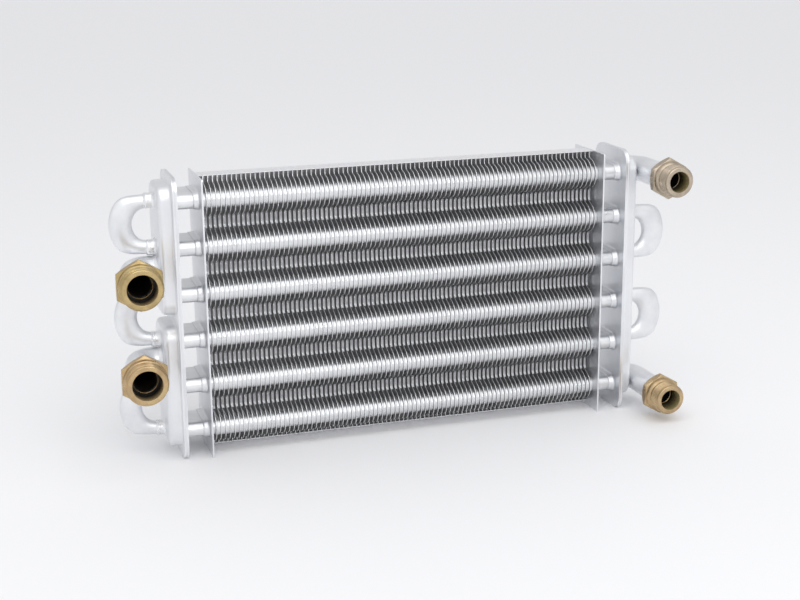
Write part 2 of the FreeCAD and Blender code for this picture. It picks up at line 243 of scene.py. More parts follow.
def fin_cell(below_is_end, above_is_end):
    """Outline of one tube's share of a fin, as (y, z) about the tube, and which edges are free.

    It goes up the front, over the top, down the back and under the bottom. The front is the
    scallop's reach at each level, and the back is its mirror image.
    """
    above = np.array(end_levels + [fins_above] if above_is_end else middle_levels)
    below = np.array(end_levels + [fins_below] if below_is_end else middle_levels)
    reach_above = end_scallop(above) if above_is_end else scallop(above)
    reach_below = end_scallop(below) if below_is_end else scallop(below)
    heights = np.concatenate([-below[::-1], [0.0], above])
    reaches = np.concatenate([reach_below[::-1], [fin_core_half + nose_radius], reach_above])
    across = np.array([-end_point_share, end_point_share]) * hollow_reach
    front = np.stack([-reaches, heights], axis=-1)
    top = np.stack([across, np.full(2, above[-1])], axis=-1)
    back = np.stack([reaches, heights], axis=-1)[::-1]
    bottom = np.stack([-across, np.full(2, -below[-1])], axis=-1)
    outline = np.concatenate([front, top, back, bottom])
    side = len(heights)
    free = np.ones(len(outline), dtype=bool)
    free[side - 1:side + 2] = above_is_end
    free[2 * side + 1:] = below_is_end
    return outline, free


def facing_core(outline):
    """For each point of an outline, the nearest point of the tube's core and the way out from it."""
    nearest = np.clip(outline[:, 0], -tube_core_half, tube_core_half)
    core = np.stack([nearest, np.zeros(len(outline))], axis=-1)
    outward = outline - core
    return core, outward / np.linalg.norm(outward, axis=-1, keepdims=True)


# The fin sheet's faces take a darker grey than the silver coating: painted shade for the deep recesses
# between the closely set fins.
fin_sheet_painted_shade = coated_metal("fin sheet with painted shade", (0.46, 0.462, 0.47), (0.37, 0.373, 0.38),
                           roughness=0.45, grain=0.0006, grain_depth=0.00005, patch_size=0.006)
# The cut edges take a near-white tone, brighter than the coating itself, as painted highlight.
fin_edge_painted_highlight = coated_metal("fin cut edge with painted highlight", (0.95, 0.95, 0.96), (0.86, 0.86, 0.88),
                        roughness=0.42, grain=0.0006, grain_depth=0.00004, patch_size=0.003)
sheet_sides = fin_half_thickness * np.array([-1, -1, 1, 1])
fin_patches = []
for row, height in enumerate(tube_heights):
    outline, free = fin_cell(row == 0, row == tube_count - 1)
    core, outward = facing_core(outline)
    bore = core + collar_radius * outward
    cell = np.zeros((fin_count, 4, len(outline), 3))
    cell[..., 0] = fin_places[:, None, None] + sheet_sides[None, :, None]
    cell[..., 1:] = np.stack([outline, bore, bore, outline])[None]
    cell[..., 2] += height
    quads = grid_quads(cell[0], True, True).reshape(4, -1, 4)
    steps = 4 * len(outline) * np.arange(fin_count)[:, None, None]
    # The last of the four strips is the cut edge, toned near white as painted highlight, open where the
    # next tube's share goes on.
    fin_patches.append((cell, (quads[:3].reshape(-1, 4)[None] + steps).reshape(-1, 4), 0))
    fin_patches.append((cell, (quads[3][free][None] + steps).reshape(-1, 4), 1))
mesh_piece("fins", fin_patches, [fin_sheet_painted_shade, fin_edge_painted_highlight], ["fin_pack"], sharp_degrees=30.0)


# Fin lips. At each hollow, and along the top and bottom ends, the sheet is bent over to the
# right. The end lips reach the next fin and close the pack's top and bottom.

lip_half_height = 3.9
lip_reach = 1.35
lip_proud = 0.12
lip_shares = np.array([-1.0, -0.68, -0.36, 0.36, 0.68, 1.0])
lip_outer_bend = [(-0.175, -0.4), (-0.06, -0.12), (0.22, 0.0)]
lip_inner_bend = [(0.3, -0.35), (0.2, -0.38), (0.175, -0.4)]
end_lip_gap = 0.02


def bent_strip(reach):
    """A lip's section as (away from the fin's plane, outwards): a quarter bend, then a flat."""
    flat = [(reach, 0.0), (reach, -2 * fin_half_thickness)]
    return np.array(lip_outer_bend + flat + lip_inner_bend)


def strips(section, places, stations, levels, axis, sign):
    """The section at every place along X, carried along one axis over levels that bend it outwards.

    The axis is 2 for a lip that runs up a hollow and 1 for one that runs across an end. Each
    strip is closed at both ends by quads between the section's outer and inner points.
    """
    count = len(stations)
    size = len(section)
    block = np.zeros((len(places), count, size, 3))
    block[..., 0] = places[:, None, None] + section[None, None, :, 0]
    block[..., axis] = np.array(stations)[None, :, None]
    block[..., 3 - axis] = np.array(levels)[None, :, None] + sign * section[None, None, :, 1]
    skin = grid_quads(block[0], False, True)
    outer = np.arange(size // 2 - 1)
    cap = np.stack([outer, outer + 1, size - 2 - outer, size - 1 - outer], axis=-1)
    quads = np.concatenate([skin, cap, cap[:, ::-1] + size * (count - 1)])
    steps = size * count * np.arange(len(places))[:, None, None]
    return block, (quads[None] + steps).reshape(-1, 4)


# The hollow lips take a darker grey than the coating: painted shade for the hollows, where the noses above
# keep the light off.
lip_painted_shade = coated_metal("lip with painted shade", (0.5, 0.5, 0.51), (0.3, 0.305, 0.315),
                           roughness=0.42, grain=0.0006, grain_depth=0.00004, patch_size=0.004)
hollow_lip = bent_strip(lip_reach)
end_lip = bent_strip(fin_pitch - fin_half_thickness - end_lip_gap)
lip_stations = lip_half_height * lip_shares
lip_levels = scallop(cell_half - np.abs(lip_stations)) + lip_proud
lip_patches = []
for height in tube_heights[:-1] + cell_half:
    for sign in (-1, 1):
        lips = strips(hollow_lip, fin_places, height + lip_stations, sign * lip_levels, 2, sign)
        lip_patches.append((*lips, 0))
end_places = np.append(first_fin_x - fin_pitch, fin_places)
end_stations = [-hollow_reach, hollow_reach]
# The end lips wear the fins' cut-edge finish, whose near-white tone is a painted highlight.
for level, sign in ((tube_heights[-1] + fins_above, 1), (tube_heights[0] - fins_below, -1)):
    lips = strips(end_lip, end_places, end_stations, [level, level], 1, sign)
    lip_patches.append((*lips, 1))
mesh_piece("fin_lips", lip_patches, [lip_painted_shade, fin_edge_painted_highlight], sharp_degrees=50.0)


# Fin collars. A short collar is drawn from each fin round each tube, as far as the next fin,
# so that together they sheathe the tube. Each one flares a little where it leaves its fin.

collar_wall = 0.4
collar_nose_steps = 13
flare_rise = 0.3
flare_length = 0.5
flare_rest = 0.03
collar_lap = 0.35
last_collar_length = 0.9

collar_coating = coated_metal("coated collar", (0.85, 0.86, 0.87), (0.74, 0.75, 0.77),
                              roughness=0.32, grain=0.0008, grain_depth=0.00005, patch_size=0.008)
collar_core, collar_outward = oval_loop(collar_nose_steps)
collar_inside = collar_radius - collar_wall
collar_start = fin_places[0] - fin_half_thickness
collar_end = fin_places[-1] + last_collar_length
collar_profile = [(collar_start, collar_inside), (collar_start, collar_radius)]
for place in fin_places:
    fin_face = place + fin_half_thickness
    collar_profile.append((fin_face, collar_radius + flare_rise))
    collar_profile.append((fin_face + flare_length, collar_radius + flare_rest))
    collar_profile.append((place + fin_pitch - fin_half_thickness - collar_lap, collar_radius))
collar_profile = collar_profile[:-2] + [(collar_end, collar_radius), (collar_end, collar_inside)]
collar_patches = []
for height in tube_heights:
    grid = carried_round(collar_core, collar_outward, collar_profile, height)
    collar_patches.append((grid, grid_quads(grid, True, True), 0))
mesh_piece("fin_collars", collar_patches, [collar_coating], sharp_degrees=60.0)


# End plates. Two flat plates close the fin pack, and two more stand outside them. Each is
# pressed from sheet with six oval holes, whose rims are drawn out as collars round the tubes.

pack_end = fin_pitch * (fin_count + 1) / 2
pack_plate = {"half_width": 23.0, "top": 180.0, "corner": 1.0, "thickness": 1.0}
end_gap = 15.0
tube_sheet = {"half_width": 24.0, "top": 181.5, "corner": 9.0, "thickness": 1.5}
sheet_inside = pack_end + pack_plate["thickness"] + end_gap
sheet_outside = sheet_inside + tube_sheet["thickness"]
plate_collar_length = 4.0
collar_foot = [(0.0, 8.0), (0.0, 6.9), (0.15, 6.35), (0.5, 6.0), (1.1, 5.75)]
collar_rim = [(1.2, 5.62), (0.5, 5.5), (0.1, 5.3), (0.0, 5.1)]
collar_bore_start = 0.3
collar_bore = 5.05
plate_hole = 5.4
plate_hole_margin = 8.0
corner_points = 6
edge_points = 9


def plate_reach(half_width, top, corner, stations):
    """Half-widths of a rounded plate at the stations' heights: straight, then a corner's arc."""
    near_end = np.minimum(stations, top - stations)
    into_corner = np.clip(corner - near_end, 0, corner)
    return half_width - corner + np.sqrt(corner ** 2 - into_corner ** 2)


def level_line(reach, height):
    """Points between the two ends of a level line, from -reach to reach."""
    across = np.linspace(-reach, reach, edge_points)[1:-1]
    return np.stack([across, np.full(len(across), height)], axis=-1)


def stood_at(x, outline):
    """An outline of (y, z) points, stood up at x."""
    return np.concatenate([np.full((len(outline), 1), x), outline], axis=-1)


def collared_plate(half_width, top, corner, thickness, left_x, collar_way):
    """A plate with collared oval holes, from left_x to the right by its thickness.

    Each tube has a patch of the plate round it. The patch's rows run from the plate's outline,
    on its collar side, in to the collar's foot, out along the collar, back through its bore and
    out again over the plate's other side.
    """
    face_x, other_x = (left_x + thickness, left_x) if collar_way > 0 else (left_x, left_x + thickness)
    rim_x = face_x + plate_collar_length * collar_way
    collar_rows = [(face_x + out * collar_way, radius) for out, radius in collar_foot]
    collar_rows += [(rim_x - back * collar_way, radius) for back, radius in collar_rim]
    collar_rows += [(face_x + collar_bore_start * collar_way, collar_bore)]
    collar_rows += [(other_x, plate_hole), (other_x, plate_hole_margin)]
    corner_steps = corner * (1 - np.cos(np.linspace(0, math.pi / 2, corner_points)))
    patches = []
    lines = []
    for row, height in enumerate(tube_heights):
        low = corner if row == 0 else height - cell_half
        high = top - corner if row == tube_count - 1 else height + cell_half
        stations = np.linspace(low, high, edge_points)
        if row == 0:
            stations = np.concatenate([corner_steps, stations[1:]])
        if row == tube_count - 1:
            stations = np.concatenate([stations[:-1], top - corner_steps[::-1]])
        reach = plate_reach(half_width, top, corner, stations)
        front = np.stack([-reach, stations], axis=-1)
        top_line = level_line(reach[-1], stations[-1])
        back = np.stack([reach, stations], axis=-1)[::-1]
        bottom_line = level_line(-reach[0], stations[0])
        lines.append((front, top_line, back, bottom_line))
        outline = np.concatenate(lines[-1])
        core, outward = facing_core(outline - (0.0, height))
        inner = carried_round(core, outward, collar_rows, height)
        grid = np.concatenate([stood_at(face_x, outline)[None], inner, stood_at(other_x, outline)[None]])
        patches.append((grid, grid_quads(grid, False, True), 0))
    fronts, tops, backs, bottoms = zip(*lines)
    rim = np.concatenate([*fronts, tops[-1], *backs[::-1], bottoms[0]])
    wall = np.stack([stood_at(face_x, rim), stood_at(other_x, rim)])
    patches.append((wall, grid_quads(wall, False, True), 0))
    return patches


plate_coating = coated_metal("coated plate", (0.84, 0.85, 0.87), (0.74, 0.75, 0.78),
                             roughness=0.36, grain=0.0015, grain_depth=0.00006, patch_size=0.02)
for side, side_name in ((-1, "left"), (1, "right")):
    pack_plate_x = pack_end if side > 0 else -pack_end - pack_plate["thickness"]
    patches = collared_plate(**pack_plate, left_x=pack_plate_x, collar_way=side)
    mesh_piece(f"pack_plate_{side_name}", patches, [plate_coating],
               [f"inner_plate_{side_name}"])
    tube_sheet_x = sheet_inside if side > 0 else -sheet_outside
    patches = collared_plate(**tube_sheet, left_x=tube_sheet_x, collar_way=-1)
    mesh_piece(f"tube_sheet_{side_name}", patches, [plate_coating],
               [f"tube_plate_{side_name}"])


# Headers. A pressed cover is brazed on the outside of each outer plate. The left one has two
# short domes, where the heating pipes leave, and the right one has a single long dome.

cover_thickness = 1.5
cover_edge = [(0.12, 0.0), (0.0, 0.12), (0.0, 1.25), (0.08, 1.42), (0.25, cover_thickness)]
dome_foot = sheet_outside + cover_thickness
dome_rise = 8.6
dome_half_width = 19.0
dome_corner = 9.5
dome_foot_curve = [(-1.6, 0.0), (-0.9, 0.12), (-0.35, 0.5), (-0.05, 1.2)]
dome_lean = 0.25
dome_edge_radius = 3.0
dome_edge_steps = 8
ring_corner_steps = 9
left_domes = [(7.25, 87.25), (93.75, 176.5)]
right_domes = [(7.25, 176.5)]


def rounded_ring(half_width, low, high, corner, inset):
    """A rounded rectangle in (y, z), pulled in by inset: a quarter circle about each corner's centre."""
    bend = corner - inset
    reach = half_width - inset - bend
    pull = inset + bend
    centres = [(reach, high - pull), (-reach, high - pull), (-reach, low + pull), (reach, low + pull)]
    ring = []
    for quarter, centre in enumerate(centres):
        turn = quarter * math.pi / 2 + np.linspace(0, math.pi / 2, ring_corner_steps)
        ring.append(centre + bend * np.stack([np.cos(turn), np.sin(turn)], axis=-1))
    return np.concatenate(ring)


def stacked_rings(side, foot_x, levels, half_width, low, high, corner):
    """A rounded ring for each level of (inset, climb), each stood at its climb out from foot_x."""
    rings = []
    for inset, climb in levels:
        ring = rounded_ring(half_width, low, high, corner, inset)
        rings.append(stood_at(side * (foot_x + climb), ring))
    return rings


def onto_spine(ring, half_width, low, high):
    """A ring's points drawn in to the line along its middle, which stops half a width from each end."""
    spine = ring.copy()
    spine[:, 1] = 0.0
    spine[:, 2] = np.clip(spine[:, 2], low + half_width, high - half_width)
    return spine


def pressed_dome(side, low, high):
    """A dome as rings that climb from its foot, turn in over a quarter circle and close on its middle."""
    levels = list(dome_foot_curve)
    for turn in np.linspace(0, math.pi / 2, dome_edge_steps):
        inset = dome_lean + dome_edge_radius * (1 - math.cos(turn))
        levels.append((inset, dome_rise - dome_edge_radius * (1 - math.sin(turn))))
    rings = stacked_rings(side, dome_foot, levels, dome_half_width, low, high, dome_corner)
    grid = np.stack(rings + [onto_spine(rings[-1], dome_half_width, low, high)])
    return grid, grid_quads(grid, False, True), 0


def flat_cover(side, half_width, top, corner):
    """The header's flange: rings over its inner face, its rounded edge and its outer face."""
    rings = stacked_rings(side, sheet_outside, cover_edge, half_width, 0.0, top, corner)
    inner_face = onto_spine(rings[0], half_width, 0.0, top)
    outer_face = onto_spine(rings[-1], half_width, 0.0, top)
    grid = np.stack([inner_face] + rings + [outer_face])
    return grid, grid_quads(grid, False, True), 0


header_coating = coated_metal("coated pressing", (0.86, 0.87, 0.885), (0.78, 0.79, 0.815),
                              roughness=0.38, grain=0.0018, grain_depth=0.00008, patch_size=0.025)
for side, side_name, domes in ((-1, "left", left_domes), (1, "right", right_domes)):
    patches = [flat_cover(side, tube_sheet["half_width"], tube_sheet["top"], tube_sheet["corner"])]
    patches += [pressed_dome(side, low, high) for low, high in domes]
    mesh_piece(f"header_cover_{side_name}", patches, [header_coating],
               [f"header_{side_name}"], sharp_degrees=45.0)


# U-bends. Five copper bends join the tap-water tubes in pairs. Each is squeezed flatter round
# the turn, where its outer edge stays a half circle, and its flared sockets are brazed on.

dome_face = dome_foot + dome_rise
bend_stations = 40
bend_columns = 36
arm_radius = 4.0
arm_length = 2.25
bend_wall = 0.8
bend_squeeze = 0.2
squeeze_sharpness = 4
ease_sharpness = 10.0
least_cosine = 0.001
left_reach = 28.0
left_width = 14.3
right_reach = 29.8
right_width = 16.2
braze_sink = 0.02
braze_waves = [(3, 1.0, 1.0), (7, 0.6, 2.3), (11, 0.4, 4.1)]
socket_columns = 32
socket_lumps = 0.12
second_arm_seed = 2.7
socket_profile = [(0.0, 4.05, 0), (0.0, 6.3, 1.0), (0.35, 5.7, 1.0), (0.9, 5.2, 0.5)]
socket_profile += [(1.8, 4.9, 0.2), (3.6, 4.87, 0.15), (4.4, 5.0, 0.4), (4.9, 4.95, 0.5)]
socket_profile += [(5.4, 4.6, 0.6), (6.0, 4.2, 0.3), (6.2, 3.95, 0)]


def arm_to_arc(arm_offset, arc_radius, angle):
    """Distance from the bend's middle point to a straight arm, easing over into an arc about it."""
    straight = arm_offset / np.maximum(np.abs(np.cos(angle)), least_cosine)
    both = straight ** -ease_sharpness + arc_radius ** -ease_sharpness
    return both ** (-1 / ease_sharpness)


def pressed_bend(side, reach, width, middle):
    """The bend's skin: oval rings about one middle point, between an inner and an outer arc.

    Near the sockets both arcs straighten into the arms. Half way round, the tube is as wide as
    the two arcs are apart, and thinner across. The skin runs out over the outside and back
    through the bore, one wall inside it.
    """
    middle_x = dome_face + arm_length
    angle = np.linspace(0, math.pi, bend_stations)
    outer_arc = dome_face + reach - middle_x
    outer = arm_to_arc(cell_half + arm_radius, outer_arc, angle)
    inner = arm_to_arc(cell_half - arm_radius, outer_arc - width, angle)
    half_thick = arm_radius - bend_squeeze * np.sin(angle) ** squeeze_sharpness
    around = np.linspace(0, 2 * math.pi, bend_columns, endpoint=False)
    shells = []
    for inset, order in ((0.0, 1), (bend_wall, -1)):
        half_wide = (outer - inner) / 2 - inset
        radial = ((outer + inner) / 2)[:, None] + half_wide[:, None] * np.cos(around)[None]
        shell = np.zeros((bend_stations, bend_columns, 3))
        shell[..., 0] = side * (middle_x + radial * np.sin(angle)[:, None])
        shell[..., 1] = (half_thick - inset)[:, None] * np.sin(around)[None]
        shell[..., 2] = middle + radial * np.cos(angle)[:, None]
        shells.append(shell[::order])
    return np.concatenate(shells)


def brazed_ring(side, height, profile, columns, lumps, seed):
    """A ring round an axis along X at a header's face, its radius made uneven by three sine waves.

    The profile's rows are (distance out from the face, radius, share of the lumps).
    """
    out, radius, share = np.array(profile, dtype=float).T
    turn = np.linspace(0, 2 * math.pi, columns, endpoint=False)
    waves = [size * np.sin(count * turn + shift * seed) for count, size, shift in braze_waves]
    uneven = radius[:, None] + lumps * share[:, None] * sum(waves)[None]
    ring = np.zeros((len(profile), columns, 3))
    ring[..., 0] = side * (dome_face - braze_sink + out)[:, None]
    ring[..., 1] = -side * uneven * np.sin(turn)[None]
    ring[..., 2] = height + uneven * np.cos(turn)[None]
    return ring


bend_coating = coated_metal("coated bend", (0.85, 0.86, 0.875), (0.74, 0.75, 0.775),
                            roughness=0.38, grain=0.0016, grain_depth=0.0001, patch_size=0.015)
braze_coating = coated_metal("coated brazing", (0.9, 0.91, 0.92), (0.78, 0.79, 0.81),
                             roughness=0.3, grain=0.0011, grain_depth=0.0005, patch_size=0.006)
bends = [(-1, left_reach, left_width, 0, "left_bottom"), (-1, left_reach, left_width, 2, "left_middle")]
bends += [(-1, left_reach, left_width, 4, "left_top")]
bends += [(1, right_reach, right_width, 1, "right_lower"), (1, right_reach, right_width, 3, "right_upper")]
for number, (side, reach, width, lower_tube, bend_name) in enumerate(bends):
    skin = pressed_bend(side, reach, width, tube_heights[lower_tube] + cell_half)
    patches = [(skin, grid_quads(skin, True, True), 0)]
    for arm_number, height in enumerate(tube_heights[lower_tube:lower_tube + 2]):
        seed = number + second_arm_seed * arm_number
        ring = brazed_ring(side, height, socket_profile, socket_columns, socket_lumps, seed)
        patches.append((ring, grid_quads(ring, True, True), 1))
    mesh_piece(f"u_bend_{bend_name}", patches, [bend_coating, braze_coating],
               [f"water_bend_{bend_name}"], sharp_degrees=60.0)


# Elbow pipes. Four copper pipes leave the headers' faces and turn to the front in one bend:
# two wide turns on the left for heating water, two tight ones on the right for tap water.

pipe_radius = 8.5
pipe_bore = 7.5
pipe_columns = 40
pipe_turn_steps = 18
pipe_sink = 0.6
heating_offset = 15.9
heating_turn_radius = 12.0
heating_pipe_end = -38.5
heating_lift = 0.9
heating_heights = tube_heights[[1, 3]] + cell_half + heating_lift
water_offset = 9.1
water_turn_radius = 9.1
water_pipe_end = -45.0
water_heights = tube_heights[[0, -1]]
bead_columns = 48
bead_lumps = 0.16
bead_seed = 1.3
bead_profile = [(0.0, 8.0, 0), (0.0, 10.0, 1.0), (0.4, 9.4, 1.0), (1.1, 8.95, 0.7)]
bead_profile += [(1.9, 8.6, 0.3), (2.3, 8.3, 0)]


def elbow(side, offset, turn_radius, end_y, height):
    """A hollow pipe along a line, a quarter circle and a line, its outside first, its bore after."""
    run_out = offset - turn_radius
    turn = np.linspace(0, math.pi / 2, pipe_turn_steps)
    arc_x = dome_face + run_out + turn_radius * np.sin(turn)
    arc = np.stack([arc_x, -turn_radius * (1 - np.cos(turn))], axis=-1)
    path = np.concatenate([[[dome_face - pipe_sink, 0.0]], arc, [[dome_face + offset, end_y]]])
    arc_way = np.stack([np.cos(turn), -np.sin(turn)], axis=-1)
    tangent = np.concatenate([[[1.0, 0.0]], arc_way, [[0.0, -1.0]]])
    normal = np.stack([-tangent[:, 1], tangent[:, 0]], axis=-1)
    around = np.linspace(0, 2 * math.pi, pipe_columns, endpoint=False)
    shells = []
    for radius, order in ((pipe_radius, 1), (pipe_bore, -1)):
        shell = np.zeros((len(path), pipe_columns, 3))
        shell[..., :2] = path[:, None] + radius * np.cos(around)[None, :, None] * normal[:, None]
        shell[..., 0] *= side
        shell[..., 2] = height + radius * np.sin(around)[None]
        shells.append(shell[::order])
    return np.concatenate(shells)


pipe_coating = coated_metal("coated pipe", (0.87, 0.88, 0.9), (0.79, 0.8, 0.83),
                            roughness=0.37, grain=0.0016, grain_depth=0.0001, patch_size=0.015)
pipe_inside = coated_metal("tarnished inside", (0.1, 0.085, 0.07), (0.05, 0.045, 0.04),
                           roughness=0.5, grain=0.0016, grain_depth=0.0001, patch_size=0.01)
heating_elbow = (-1, heating_offset, heating_turn_radius, heating_pipe_end)
water_elbow = (1, water_offset, water_turn_radius, water_pipe_end)
elbows = [(heating_elbow, heating_heights[0], "heating_pipe_lower")]
elbows += [(heating_elbow, heating_heights[1], "heating_pipe_upper")]
elbows += [(water_elbow, water_heights[0], "water_pipe_lower")]
elbows += [(water_elbow, water_heights[1], "water_pipe_upper")]
for number, (run, height, node) in enumerate(elbows):
    shell = elbow(*run, height)
    bead = brazed_ring(run[0], height, bead_profile, bead_columns, bead_lumps, bead_seed * number)
    quads = grid_quads(shell, True, True).reshape(len(shell), -1, 4)
    outside = len(shell) // 2
    patches = [(shell, quads[:outside].reshape(-1, 4), 0), (shell, quads[outside:].reshape(-1, 4), 1)]
    patches.append((bead, grid_quads(bead, True, True), 2))
    mesh_piece(f"elbow_{node}", patches, [pipe_coating, pipe_inside, braze_coating],
               [node], sharp_degrees=50.0)


# Screw fittings. Four turned brass fittings are brazed on the pipes' ends. Each has a chamfered
# hexagon, a screw thread in front of it and a bore that narrows to a step deep inside.

heating_size = {"front": 52.0, "hexagon": 28.0, "hex_length": 9.0, "crest": 13.22,
                "thread_length": 10.5, "bore": 9.3, "throat": 7.5}
water_size = {"front": 60.0, "hexagon": 24.0, "hex_length": 8.0, "crest": 10.475,
              "thread_length": 13.0, "bore": 6.8, "throat": 6.1}
fitting_columns = 96
socket_depth = 6.0
socket_radius = 8.55
socket_chamfer = 0.3
back_radius = 9.6
back_shares = np.append(np.linspace(0.05, 0.6, 3), np.linspace(0.65, 1, 8))
hexagon_chamfer = math.radians(30.0)
chamfer_shares = np.linspace(1, 0, 7)
chamfer_relief = 0.15
shoulder_step = 0.5
shoulder_middle = 0.9
shoulder_end = 2.2
shoulder_proud = 0.05
thread_pitch = 1.814
thread_depth = 0.6
thread_steps = 8
groove_end = 2.6
thread_start = 2.9
thread_end = 1.2
ridge_slope = 2.7
start_fade = 1.2
end_fade = 0.5
end_fade_rest = 0.3
front_drop = 0.05
front_radius = 1.0
front_steps = 6
mouth_rounding = [(0.0, 0.35), (0.1, 0.1), (0.35, 0.0)]
step_depth = 8.5
step_radius_gain = 0.35
step_chamfer = 0.3


def tarnished_brass(name, bright, dull, red):
    """Turned brass: warm between three tones, with rings from the lathe in its bump and a gloss that varies
    with its stains.
    """
    material = bpy.data.materials.new(name)
    material.use_nodes = True
    nodes = material.node_tree.nodes
    links = material.node_tree.links
    shader = nodes["Principled BSDF"]
    shader.inputs["Metallic"].default_value = 0.9
    place = nodes.new("ShaderNodeTexCoord")
    stains = nodes.new("ShaderNodeTexNoise")
    stains.inputs["Scale"].default_value = 160.0
    stains.inputs["Detail"].default_value = 5.0
    stains.inputs["Roughness"].default_value = 0.6
    links.new(place.outputs["Object"], stains.inputs["Vector"])
    tones = nodes.new("ShaderNodeValToRGB")
    tones.color_ramp.elements[0].position = 0.33
    tones.color_ramp.elements[0].color = (*dull, 1.0)
    tones.color_ramp.elements[1].position = 0.66
    tones.color_ramp.elements[1].color = (*bright, 1.0)
    middle_tone = tones.color_ramp.elements.new(0.5)
    middle_tone.color = (*red, 1.0)
    links.new(stains.outputs["Fac"], tones.inputs["Fac"])
    links.new(tones.outputs["Color"], shader.inputs["Base Color"])
    gloss = nodes.new("ShaderNodeMapRange")
    gloss.inputs["From Min"].default_value = 0.3
    gloss.inputs["From Max"].default_value = 0.7
    gloss.inputs["To Min"].default_value = 0.38
    gloss.inputs["To Max"].default_value = 0.22
    links.new(stains.outputs["Fac"], gloss.inputs["Value"])
    links.new(gloss.outputs["Result"], shader.inputs["Roughness"])
    lathe = nodes.new("ShaderNodeMapping")
    lathe.inputs["Scale"].default_value = (60.0, 2600.0, 60.0)
    links.new(place.outputs["Object"], lathe.inputs["Vector"])
    rings = nodes.new("ShaderNodeTexNoise")
    rings.inputs["Scale"].default_value = 1.0
    rings.inputs["Detail"].default_value = 2.0
    links.new(lathe.outputs["Vector"], rings.inputs["Vector"])
    bump = nodes.new("ShaderNodeBump")
    bump.inputs["Strength"].default_value = 0.14
    bump.inputs["Distance"].default_value = 0.00006
    links.new(rings.outputs["Fac"], bump.inputs["Height"])
    links.new(bump.outputs["Normal"], shader.inputs["Normal"])
    return material


def bore_painted_shade(name, mouth_y, deep_y, tone):
    """The inside of a fitting: brass at its mouth, darkening along the axis to nearly black as painted
    shade.
    """
    material = tarnished_brass(name, tone, tone, tone)
    nodes = material.node_tree.nodes
    links = material.node_tree.links
    shader = nodes["Principled BSDF"]
    shader.inputs["Metallic"].default_value = 0.35
    place = nodes.new("ShaderNodeTexCoord")
    parts = nodes.new("ShaderNodeSeparateXYZ")
    links.new(place.outputs["Object"], parts.inputs["Vector"])
    depth = nodes.new("ShaderNodeMapRange")
    depth.inputs["From Min"].default_value = mouth_y
    depth.inputs["From Max"].default_value = deep_y
    links.new(parts.outputs["Y"], depth.inputs["Value"])
    # Painted shade: the colour falls from the brass tone at the mouth to nearly black deep in the bore.
    tones = nodes.new("ShaderNodeValToRGB")
    tones.color_ramp.elements[0].color = (*tone, 1.0)
    tones.color_ramp.elements[1].color = (0.012, 0.01, 0.008, 1.0)
    links.new(depth.outputs["Result"], tones.inputs["Fac"])
    links.new(tones.outputs["Color"], shader.inputs["Base Color"])
    return material


def hexagon_rings(turn, apothem, back, hex_front):
    """Rings over the hexagon, each the lesser of the distance to its sides and a cone's radius.

    The sides' distance is the apothem over the cosine of the turn from the nearest side's
    middle. The back's cone opens at 45 degrees, and the front's closes at the chamfer's angle.
    """
    corner = apothem / math.cos(math.pi / 6)
    sides = apothem / np.cos(turn % (math.pi / 3) - math.pi / 6)
    cone = corner - back_radius
    rings = [(back - cone * share, np.minimum(sides, back_radius + cone * share)) for share in back_shares]
    slope = (corner - apothem) * math.tan(hexagon_chamfer)
    lowest = apothem - chamfer_relief
    for share in chamfer_shares:
        rings.append((hex_front + slope * share, np.minimum(sides, lowest + (corner - lowest) * share)))
    return rings


def thread_rings(turn, root, start_y, end_y):
    """Rings over the thread, whose ridge climbs one pitch a turn and fades out at both ends.

    The ridge's height goes by how near the ring's place in its own pitch is to half way.
    """
    rings = []
    for y in np.arange(start_y, end_y, -thread_pitch / thread_steps):
        phase = (y / thread_pitch - turn / (2 * math.pi)) % 1.0
        ridge = np.clip(ridge_slope * (0.5 - np.abs(phase - 0.5)), 0, 1)
        fade = min(1.0, (start_y - y) / start_fade, (y - end_y) / end_fade + end_fade_rest)
        rings.append((y, root + thread_depth * ridge * max(fade, 0.0)))
    return rings


def fitting(x, height, front, hexagon, hex_length, crest, thread_length, bore, throat):
    """A fitting's skin in rings of (y, radius) about its axis.

    The rings run from the pipe's socket over the back and along the hexagon, over a shoulder
    and the thread, round the front, a quarter circle, down the bore and past the step.
    """
    turn = np.linspace(0, 2 * math.pi, fitting_columns, endpoint=False)
    apothem = hexagon / 2
    back = -front + thread_length + hex_length
    hex_front = -front + thread_length
    root = crest - thread_depth
    end_y = -front + thread_end
    rings = [(back - socket_depth, throat), (back - socket_depth, socket_radius)]
    rings += [(back - socket_chamfer, socket_radius), (back, socket_radius + socket_chamfer)]
    rings += [(back, back_radius)] + hexagon_rings(turn, apothem, back, hex_front)
    rings += [(hex_front, apothem - shoulder_step)]
    rings += [(hex_front - shoulder_middle, (apothem + crest) / 2)]
    rings += [(hex_front - shoulder_end, crest + shoulder_proud), (hex_front - groove_end, root)]
    rings += thread_rings(turn, root, hex_front - thread_start, end_y)
    rings += [(end_y, root - front_drop)]
    for bend in np.linspace(0, math.pi / 2, front_steps):
        y = -front + front_radius * (1 - math.sin(bend))
        rings.append((y, root - 2 * front_drop - front_radius * (1 - math.cos(bend))))
    rings += [(-front + deep, bore + wider) for deep, wider in mouth_rounding]
    mouth = len(rings) - 1
    step_y = back - step_depth
    rings += [(step_y, bore), (step_y, throat + step_radius_gain), (step_y + step_chamfer, throat)]
    points = np.zeros((len(rings), fitting_columns, 3))
    for number, (y, radius) in enumerate(rings):
        points[number, :, 0] = x + radius * np.sin(turn)
        points[number, :, 1] = y
        points[number, :, 2] = height + radius * np.cos(turn)
    quads = grid_quads(points, True, True).reshape(len(rings), fitting_columns, 4)
    # The bore, the step and the throat are darkened as painted shade, and only the step's chamfer stays
    # bright.
    inside = np.concatenate([quads[mouth:mouth + 2], quads[mouth + 3:]]).reshape(-1, 4)
    outside = np.concatenate([quads[:mouth], quads[mouth + 2:mouth + 3]]).reshape(-1, 4)
    return [(points, outside, 0), (points, inside, 1)]


